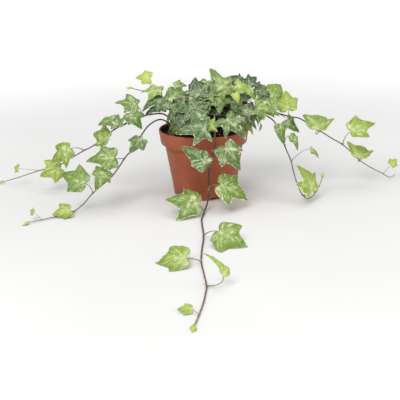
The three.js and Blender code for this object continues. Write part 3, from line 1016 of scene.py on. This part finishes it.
def leafFrameOf(node):
    # reads a solid leaf's joint, directions, cup and fold back from its mesh
    mesh = bpy.data.objects[node].data
    faces = {}
    spots = {}
    for polygon in mesh.polygons:
        for index in polygon.vertices:
            spot = mesh.vertices[index].co
            key = tuple(round(value * 1e6) for value in spot)
            faces[key] = faces.get(key, 0) + 1
            spots[key] = spot.copy()
    order = sorted(faces, key=lambda key: (-faces[key], key))
    upper, lower = spots[order[0]], spots[order[1]]
    if upper.z < lower.z:
        upper, lower = lower, upper
    joint = (upper + lower) / 2
    facing = (upper - lower).normalized()
    rim = [spots[key] for key in order[2:]]
    tip = max(rim, key=lambda spot: (spot - joint).length)
    along = tip - joint
    along = (along - facing * along.dot(facing)).normalized()
    across = along.cross(facing)
    size = max((spot - joint).dot(along) for spot in rim)
    # least squares for the fold and the cup, over the rim that isn't flattened
    sums = [0.0] * 5
    for spot in rim:
        if spot.z < 0.9 * mm:
            continue
        offset = spot - joint
        side, forward = offset.dot(across) / size, offset.dot(along) / size
        high = offset.dot(facing) / size
        a, b = abs(side), -(side * side + forward * forward)
        sums = [sums[0] + a * a, sums[1] + a * b, sums[2] + b * b, sums[3] + a * high,
                sums[4] + b * high]
    aa, ab, bb, ah, bh = sums
    area = aa * bb - ab * ab
    fold, cup = 0.08, 0.15
    if area > 1e-6:
        fold, cup = (ah * bb - bh * ab) / area, (bh * aa - ah * ab) / area
    return {"joint": joint, "facing": facing, "along": along, "across": across,
            "length": size, "fold": clamp(fold, -0.2, 1.4), "cup": clamp(cup, -0.1, 0.5)}


# colours by youth, from old crown leaves to the newest; the cream edge has the veins' colour
leafColours = {
    "ground": [(0.0, rgb(54, 84, 50)), (0.3, rgb(100, 136, 50)), (0.6, rgb(146, 175, 58)),
               (1.0, rgb(184, 206, 72))],
    "patch": [(0.0, rgb(126, 148, 116)), (0.3, rgb(180, 196, 134)), (0.6, rgb(206, 220, 146)),
              (1.0, rgb(222, 234, 150))],
    "vein": [(0.0, rgb(214, 222, 190)), (0.3, rgb(232, 240, 190)), (0.6, rgb(238, 244, 184)),
             (1.0, rgb(240, 246, 186))],
    "edgeTint": (0.70, 0.74, 0.66, 1),
    "under": rgb(158, 176, 132),
}

# the blade is one unit long here, and each leaf's seed shifts the noises
leafPattern = {
    "veins": (0, 54, 113),  # degrees from the middle lobe
    "veinWidths": (0.026, 0.005),  # at the petiole and at the tip
    "laneScales": (11.0, 2.6),  # streaks beside a vein, across it and along it
    "rungs": 0.085,  # between two fine side veins
    "rungSlant": 0.8,
    "patchScale": 3.6,
    "fleckScale": 12.0,
    "blotScale": 1.7,
    "fibreScale": 3.4,
    "fibreRays": (2.6, 1.1),  # round the petiole and out from it
    "shares": (0.46, 0.34, 0.20, 0.07),  # of patches, fibre, flecks and the veins' zone
}


def makeLeafMaterial(name, under):
    material, tree, shader = newMaterial(name)
    x, y, share = attributeParts(tree, "leafPlace")
    youth, seed, cream = attributeParts(tree, "leafKind")
    side = calc(tree, "ABSOLUTE", x)

    # pale main veins, wide where they meet the petiole, in a lighter zone, with streaks of
    # cream beside them that differ between the leaf's two halves
    veins = zone = streaks = 0.0
    half = calc(tree, "MULTIPLY", calc(tree, "SIGN", x), 5.0)
    lanes = calc(tree, "ADD", calc(tree, "MULTIPLY", seed, 53.0), half)
    laneAcross, laneAlong = leafPattern["laneScales"]
    for degrees in leafPattern["veins"]:
        turn = math.radians(degrees)
        along = calc(tree, "ADD", calc(tree, "MULTIPLY", side, math.sin(turn)),
                     calc(tree, "MULTIPLY", y, math.cos(turn)))
        off = calc(tree, "ABSOLUTE", calc(
            tree, "SUBTRACT", calc(tree, "MULTIPLY", side, math.cos(turn)),
            calc(tree, "MULTIPLY", y, math.sin(turn))))
        width = remap(tree, along, 0.0, 0.9, *leafPattern["veinWidths"], "LINEAR")
        line = calc(tree, "SUBTRACT", 1.0, calc(tree, "DIVIDE", off, width), limit=True)
        line = calc(tree, "MULTIPLY", line, calc(tree, "GREATER_THAN", along, 0.0))
        veins = calc(tree, "MAXIMUM", veins, line)
        soft = calc(tree, "MULTIPLY", remap(tree, off, 0.02, 0.15, 1.0, 0.0),
                    remap(tree, along, 0.75, 0.2))
        zone = calc(tree, "MAXIMUM", zone, soft)
        lane = vectorOf(tree, calc(tree, "MULTIPLY", off, laneAcross),
                        calc(tree, "MULTIPLY", along, laneAlong),
                        calc(tree, "ADD", lanes, degrees * 0.31))
        streak = remap(tree, noiseOf(tree, lane, 1.0, 2.0, 0.6, 0.2), 0.57, 0.64)
        streak = calc(tree, "MULTIPLY", streak, remap(tree, off, 0.26, 0.12))
        streak = calc(tree, "MULTIPLY", streak, remap(tree, along, 0.04, 0.12))
        streaks = calc(tree, "MAXIMUM", streaks, streak)

    # finer side veins leave the midrib at a slant
    slant = calc(tree, "SUBTRACT", y, calc(tree, "MULTIPLY", side, leafPattern["rungSlant"]))
    rung = calc(tree, "PINGPONG", calc(tree, "ADD", slant, 2.0), leafPattern["rungs"])
    fineVein = remap(tree, rung, 0.0, 0.018, 1.0, 0.0)
    fineVein = calc(tree, "MULTIPLY", fineVein, remap(tree, share, 0.75, 0.98, 1.0, 0.0))

    # the variegation's noises: patches over the blade, and fibre that runs out from the petiole
    spot = vectorOf(tree, x, y, calc(tree, "MULTIPLY", seed, 37.0))
    patches = noiseOf(tree, spot, leafPattern["patchScale"], 3.0, 0.65, 0.9)
    flecks = noiseOf(tree, spot, leafPattern["fleckScale"], 3.0, 0.7, 0.5)
    blots = noiseOf(tree, spot, leafPattern["blotScale"], 1.0, 0.5, 0.4)
    reach = calc(tree, "SQRT", calc(tree, "ADD", calc(tree, "MULTIPLY", x, x),
                                    calc(tree, "MULTIPLY", y, y)))
    roundRays, outRays = leafPattern["fibreRays"]
    ray = vectorOf(tree, calc(tree, "MULTIPLY", calc(tree, "ARCTAN2", x, y), roundRays),
                   calc(tree, "MULTIPLY", reach, outRays), calc(tree, "MULTIPLY", seed, 53.0))
    fibre = noiseOf(tree, ray, leafPattern["fibreScale"], 2.0, 0.6)

    ground = youthRamp(tree, youth, leafColours["ground"])
    patch = youthRamp(tree, youth, leafColours["patch"])
    pale = youthRamp(tree, youth, leafColours["vein"])
    mottle = 0.0
    for part, amount in zip((patches, fibre, flecks, zone), leafPattern["shares"]):
        mottle = calc(tree, "ADD", mottle, calc(tree, "MULTIPLY", part, amount))
    patchShare = calc(tree, "MULTIPLY", remap(tree, mottle, 0.47, 0.64, 0.0, 0.84),
                      remap(tree, cream, 0.1, 0.7, 0.55, 1.0))
    colour = blendColour(tree, patchShare, ground, patch)
    # the blade darkens towards its edge
    darker = blendColour(tree, 1.0, colour, leafColours["edgeTint"], "MULTIPLY")
    colour = blendColour(tree, remap(tree, share, 0.55, 1.0, 0.0, 0.75), colour, darker)
    # the streaks fade outwards, and are broken
    streak = calc(tree, "MULTIPLY", streaks, remap(tree, reach, 0.95, 0.45))
    streak = calc(tree, "MULTIPLY", streak, remap(tree, flecks, 0.36, 0.50))
    streak = calc(tree, "MULTIPLY", streak, remap(tree, blots, 0.36, 0.52))
    streak = calc(tree, "MULTIPLY", streak, remap(tree, cream, 0.1, 0.8, 0.45, 0.95))
    colour = blendColour(tree, streak, colour, pale)
    # the cream edge is broken and uneven
    limit = calc(tree, "ADD", calc(tree, "MULTIPLY", flecks, 0.34),
                 calc(tree, "MULTIPLY", patches, 0.22))
    limit = calc(tree, "ADD", share, calc(tree, "SUBTRACT", limit, 0.28))
    border = remap(tree, limit, 0.95, 1.02, 0.0, 1.0)
    border = calc(tree, "MULTIPLY", border, cream)
    colour = blendColour(tree, border, colour, pale)
    colour = blendColour(tree, calc(tree, "MULTIPLY", fineVein, 0.14), colour, pale)
    heart = remap(tree, reach, 0.12, 0.02, 0.0, 0.6)
    broken = remap(tree, patches, 0.38, 0.62, 0.22, 0.62)
    veinShare = calc(tree, "MAXIMUM", calc(tree, "MULTIPLY", veins, broken), heart)
    colour = blendColour(tree, veinShare, colour, pale)
    if under:
        colour = blendColour(tree, 0.45, colour, leafColours["under"])
    tree.links.new(colour, shader.inputs["Base Color"])
    gloss = remap(tree, flecks, 0.3, 0.7, 0.36, 0.50)
    tree.links.new(gloss, shader.inputs["Roughness"])
    setShader(shader, specular=0.2 if under else 0.42)
    relief = calc(tree, "ADD", calc(tree, "MULTIPLY", veins, -0.6),
                  calc(tree, "MULTIPLY", fineVein, -0.25))
    relief = calc(tree, "ADD", relief, calc(tree, "MULTIPLY", flecks, 0.5))
    if under:
        relief = calc(tree, "MULTIPLY", relief, -1.0)
    tree.links.new(bumpOf(tree, relief, 0.0005, 0.7), shader.inputs["Normal"])
    return material


leafMaterials = []  # of the upper side and the underside


def makeShoots():
    stemMaterial = makeStemMaterial()
    leafMaterials.append(makeLeafMaterial("ivyLeafUpper", False))
    leafMaterials.append(makeLeafMaterial("ivyLeafUnder", True))
    masters = {shape: makeLeafMaster(shape, leafLook["fineCuts"])
               for shape in leafLook["shapes"]}
    for number, (name, shoot) in enumerate(shoots.items()):
        rows, points = stemLine(shoot, number)
        lines = [rows]
        for i, (place, youth, shape) in enumerate(
                zip(shoot["places"], shoot["youth"], shoot["shapes"])):
            node = f"leaf_{name}_{i + 1}"
            leaf = leafFrameOf(node)
            leaf["length"] *= shoot.get("trim", {}).get(i, 1.0)
            degrees = shoot.get("turn", {}).get(i, 0.0)
            turn = Matrix.Rotation(math.radians(degrees), 3, leaf["facing"])
            leaf["along"], leaf["across"] = turn @ leaf["along"], turn @ leaf["across"]
            cream = shoot.get("cream", {}).get(i, clamp(0.95 - youth * 0.7))
            seed = shoot.get("seeds", {}).get(i, number * 40 + i)
            blade = placeLeaf(masters[shape], "ivy_" + node, leaf, youth, cream, seed)
            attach(blade, "root")
            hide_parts(node)
            lines.append(petioleLine(points[place], leaf, youth))
        stem = tubesFrom(lines, "ivy_stem_" + name, 2)
        giveFinish(stem, stemMaterial)
        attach(stem, "root")
        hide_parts("stem_" + name)
    print("shoots ready")
    return masters, stemMaterial


# the leafy crown between the shoots: lengths are in millimetres, and the gaps keep the soil
# open at the front and show the stems in the middle
crownLook = {
    "leaves": 112,
    "tufts": 8,
    "middle": (12, 8, 92),
    "reach": (66, 54, 56),
    "depths": (0.62, 0.98),  # of the reach
    "sizes": (15, 27),
    "petiole": 18,
    "spiral": 137.508,  # degrees from one leaf to the next
    "frontGap": {"y": -22, "z": 122},
    "middleGap": {"x": (0, 48), "y": 8, "z": 124},
    "shapes": "bbddda",
    "cream": (0.6, 1.0),
    "seed": 21,
}

# leaves at the front of the crown: joint and length in millimetres, the way that the upper
# side faces, the way that the tip points, youth, cream edge and shape
crownFront = [
    ((-11, 6, 142), 18, (-0.3, -0.8, 0.5), (-0.20, -0.23, 0.95), 0.05, 0.8, "b"),
    ((6, -2, 139), 24, (-0.2, -0.8, 0.5), (-0.36, -0.17, 0.92), 0.10, 1.0, "d"),
    ((-8, -14, 130), 23, (-0.3, -0.7, 0.6), (-0.70, -0.09, 0.71), 0.05, 0.9, "b"),
    ((-4, -30, 119), 29, (-0.2, -0.7, 0.6), (-0.82, -0.07, 0.57), 0.08, 1.0, "d"),
    ((30, -12, 130), 21, (0.0, -0.7, 0.7), (-0.76, -0.29, 0.59), 0.10, 0.8, "b"),
    ((43, -18, 132), 19, (0.2, -0.7, 0.6), (0.95, -0.21, 0.23), 0.30, 1.0, "d"),
    ((43, -8, 117), 17, (0.2, -0.6, 0.7), (0.87, -0.12, 0.48), 0.00, 0.2, "b"),
    ((74, 2, 128), 21, (0.3, -0.7, 0.5), (0.43, -0.10, 0.90), 0.12, 0.7, "d"),
    ((82, -28, 121), 17, (0.4, -0.7, 0.5), (0.70, -0.34, -0.50), 0.40, 0.9, "d"),
    ((78, -24, 122), 20, (0.1, -0.8, 0.5), (-0.28, -0.30, -0.91), 0.40, 1.0, "b"),
    ((90, -22, 121), 16, (0.2, -0.7, 0.6), (0.98, -0.13, -0.17), 0.35, 0.9, "d"),
    ((54, -22, 108), 23, (0.3, -0.7, 0.6), (0.84, -0.35, -0.41), 0.10, 0.9, "d"),
    ((48, 18, 148), 15, (-0.1, -0.8, 0.6), (-0.65, 0.12, 0.75), 0.00, 0.5, "d"),
    ((62, 14, 146), 16, (0.2, -0.8, 0.6), (0.62, 0.00, 0.60), 0.02, 0.5, "b"),
    ((72, 16, 141), 15, (0.1, -0.7, 0.7), (0.9, -0.10, 0.20), 0.00, 0.4, "d"),
    ((54, 2, 136), 15, (-0.2, -0.7, 0.6), (-0.5, -0.1, -0.8), 0.05, 0.4, "a"),
    ((78, 8, 134), 17, (0.2, -0.5, 0.8), (0.90, 0.00, 0.43), 0.05, 0.5, "d"),
    ((82, 2, 127), 15, (0.5, -0.5, 0.6), (0.8, -0.3, -0.2), 0.05, 0.5, "b"),
    ((58, -30, 119), 15, (-0.1, -0.8, 0.5), (-0.7, -0.2, -0.6), 0.12, 0.9, "d"),
    ((70, -30, 116), 14, (0.4, -0.7, 0.4), (0.7, -0.3, -0.35), 0.10, 0.7, "a"),
    ((-36, -18, 119), 17, (-0.5, -0.7, 0.4), (-0.6, 0.2, -0.7), 0.05, 0.9, "a"),
    ((-46, -10, 124), 16, (-0.3, -0.6, 0.7), (-0.8, -0.3, 0.4), 0.10, 0.8, "b"),
    ((42, -27, 139), 12, (0.2, -0.8, 0.5), (0.3, -0.2, -0.9), 0.90, 0.4, "h"),
    ((9, -52, 105), 17, (0.2, -0.8, 0.5), (0.96, -0.16, 0.22), 0.75, 0.3, "d"),
    ((-54, 2, 121), 19, (-0.1, -0.1, 1), (-0.97, -0.16, 0.16), 0.00, 1.0, "d"),
    ((-62, 4, 115), 18, (-0.2, -0.2, 1), (-0.99, -0.16, -0.05), 0.05, 1.0, "b"),
    ((-56, -6, 117), 17, (0.1, -0.2, 1), (-0.90, -0.46, -0.1), 0.00, 1.0, "d"),
    ((-41, 8, 131), 17, (-0.2, -0.5, 0.8), (-0.90, -0.11, 0.43), 0.05, 0.8, "d"),
    ((-27, -6, 136), 15, (-0.3, -0.7, 0.6), (-0.95, -0.26, -0.19), 0.35, 0.8, "b"),
    ((-25, -16, 127), 18, (-0.3, -0.8, 0.5), (-0.93, -0.22, -0.29), 0.10, 1.0, "d"),
    ((22, -20, 115), 17, (0.0, -0.6, 0.7), (-0.85, -0.12, 0.52), 0.10, 0.8, "a"),
    ((63, -14, 118), 16, (0.0, -0.7, 0.6), (-0.84, -0.37, -0.40), 0.05, 0.6, "b"),
    ((16, 8, 141), 17, (0.1, -0.6, 0.7), (0.57, -0.12, 0.81), 0.30, 0.8, "d"),
    ((-35, 6, 146), 15, (0.0, -0.6, 0.7), (0.89, -0.13, 0.44), 0.30, 0.7, "b"),
    ((1, -20, 130), 15, (0.2, -0.8, 0.5), (0.88, -0.27, 0.39), 0.10, 1.0, "d"),
    ((-19, -40, 110), 17, (-0.4, -0.8, 0.3), (-0.91, -0.21, -0.20), 0.00, 0.9, "a"),
    ((57, 8, 127), 18, (0.0, -0.7, 0.6), (-0.43, 0.00, 0.90), 0.05, 0.5, "b"),
]

# the crown's own stems, as the petioles of its leaves find them
crownStems = ["crown_front_left", "crown_front_right", "crown_middle", "crown_back"]


def directed(facing, tip):
    # a leaf's facing, across and along, with the tip's direction laid in its plane
    facing = facing.normalized()
    across = tip.cross(facing).normalized()
    return facing, across, facing.cross(across)


def inGap(spot):
    front, middle = crownLook["frontGap"], crownLook["middleGap"]
    left, right = middle["x"]
    if spot.y < front["y"] and spot.z < front["z"]:
        return True
    return spot.y < middle["y"] and left < spot.x < right and spot.z < middle["z"]


def fillCrown(stemMaterial):
    draw = random.Random(crownLook["seed"])
    coarse = {shape: makeLeafMaster(shape, leafLook["coarseCuts"])
              for shape in leafLook["shapes"]}
    sources = [Vector(point) * mm for name in crownStems
               for point in shoots[name]["route"][1:]]
    middle = Vector(crownLook["middle"])
    reach = Vector(crownLook["reach"])
    tufts = {}
    lines = []

    def addLeaf(name, leaf, youth, cream, shape, seed, tuft):
        blade = placeLeaf(coarse[shape], name, leaf, youth, cream, seed)
        tufts.setdefault(tuft, []).append(blade)
        reached = leaf["joint"] - leaf["along"] * (crownLook["petiole"] * mm)
        near = min(sources, key=lambda point: (point - reached).length)
        lines.append(petioleLine(near, leaf, youth))

    for i, (joint, size, face, tip, youth, cream, shape) in enumerate(crownFront):
        facing, across, along = directed(Vector(face), Vector(tip))
        leaf = {"joint": Vector(joint) * mm, "facing": facing, "across": across,
                "along": along, "length": size * mm, "fold": draw.uniform(0.05, 0.3),
                "cup": draw.uniform(0.05, 0.2)}
        addLeaf(f"front_blade_{i}", leaf, youth, cream, shape, 800 + i, "front_" + "ab"[i % 2])
    count = crownLook["leaves"]
    for i in range(count):
        turn = i * math.radians(crownLook["spiral"]) + draw.uniform(-0.2, 0.2)
        rise = 0.07 + 0.87 * (i + 0.5) / count
        level = math.sqrt(max(0.0, 1 - rise * rise))
        out = Vector((level * math.cos(turn), level * math.sin(turn), rise))
        depth = draw.uniform(*crownLook["depths"])
        spot = middle + Vector([out[k] * reach[k] * depth for k in range(3)])
        if inGap(spot):
            continue
        outward = Vector((out.x, out.y, out.z + 0.55)).normalized()
        jitter = Vector((draw.uniform(-1, 1), draw.uniform(-1, 1), draw.uniform(-1, 1)))
        side = Vector((-out.y, out.x, 0)) * draw.uniform(-1.1, 1.1)
        tip = Vector((out.x, out.y, -0.25)) + side + jitter * 0.5
        facing, across, along = directed(outward + jitter * 0.55, tip)
        size = draw.uniform(*crownLook["sizes"])
        youth = clamp(draw.uniform(0.0, 0.35) + 0.25 * max(0, rise - 0.5)
                      + (0.35 if draw.random() < 0.12 else 0))
        leaf = {"joint": spot * mm, "facing": facing, "across": across, "along": along,
                "length": size * mm, "fold": draw.uniform(0.02, 0.3),
                "cup": draw.uniform(0.05, 0.25)}
        shape = draw.choice(crownLook["shapes"])
        cream = draw.uniform(*crownLook["cream"])
        tuft = int((turn % math.tau) / math.tau * crownLook["tufts"])
        addLeaf(f"crown_blade_{i}", leaf, youth, cream, shape, 900 + i, str(tuft + 1))
    for tuft, blades in sorted(tufts.items()):
        piece = joinAll(blades, "crown_tuft_" + tuft)
        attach(piece, "root")
    stalks = tubesFrom(lines, "crown_petioles", 1)
    giveFinish(stalks, stemMaterial)
    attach(stalks, "root")
    for master in coarse.values():
        bpy.data.objects.remove(master)
    print("crown filled with", len(lines), "leaves")


budLook = {
    "size": 9.0,  # lengths are in millimetres
    "shrink": 0.18,  # from one leaf of the tip's bud to the next
    "leaves": 3,
    "spread": 0.45,
    "nodeSize": 3.2,
    "nodeScales": (0.7, 1.3),
    "fold": 0.45,
    "cup": 0.1,
    "seed": 4,
    "shoots": ["front", "left_low", "left_high", "upper_left", "right_short"],
}


def budBlade(master, name, joint, tip, side, size, seed):
    facing, across, along = directed(side, tip)
    leaf = {"joint": joint, "facing": facing, "across": across, "along": along,
            "length": size, "fold": budLook["fold"], "cup": budLook["cup"]}
    return placeLeaf(master, name, leaf, 1.0, 0.8, seed)


def tipBud(master, name, points):
    # its leaves face up, and spread to the two sides of the stem
    end = points[-1]
    ahead = (end - points[-2]).normalized()
    upward = Vector((0, -0.5, 1))
    blades = []
    for k in range(budLook["leaves"]):
        side = ahead.cross(upward).normalized() * (-1)**k
        joint = end - ahead * k * mm
        joint.z = max(joint.z, 1.8 * mm)
        size = budLook["size"] * (1 - budLook["shrink"] * k) * mm
        tip = ahead + side * budLook["spread"] * k
        blades.append(budBlade(master, f"bud_{name}_{k}", joint, tip, upward, size, 700 + k))
    return blades


def makeBuds(master):
    draw = random.Random(budLook["seed"])
    for name, shoot in shoots.items():
        points = [Vector(point) * mm for point in shoot["route"]]
        blades = tipBud(master, name, points) if name in budLook["shoots"] else []
        # a small bud sits in the angle of each petiole
        for k, place in enumerate(shoot["places"]):
            if place + 1 >= len(points):
                continue
            ahead = (points[place + 1] - points[place]).normalized()
            side = ahead.orthogonal().normalized()
            side = Matrix.Rotation(draw.uniform(0, math.tau), 3, ahead) @ side
            if side.z < 0:
                side = -side
            size = budLook["nodeSize"] * draw.uniform(*budLook["nodeScales"]) * mm
            blades.append(budBlade(master, f"axil_{name}_{k}", points[place] + side * mm,
                                   side + ahead * 0.6, side.cross(ahead), size, 750 + k))
        buds = joinAll(blades, "buds_" + name)
        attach(buds, "root")
    print("buds ready")


makeCamera()
makeStudio()
makePot()
makeSoil()
masters, stemMaterial = makeShoots()
fillCrown(stemMaterial)
makeBuds(masters["s"])
for master in masters.values():
    bpy.data.objects.remove(master)
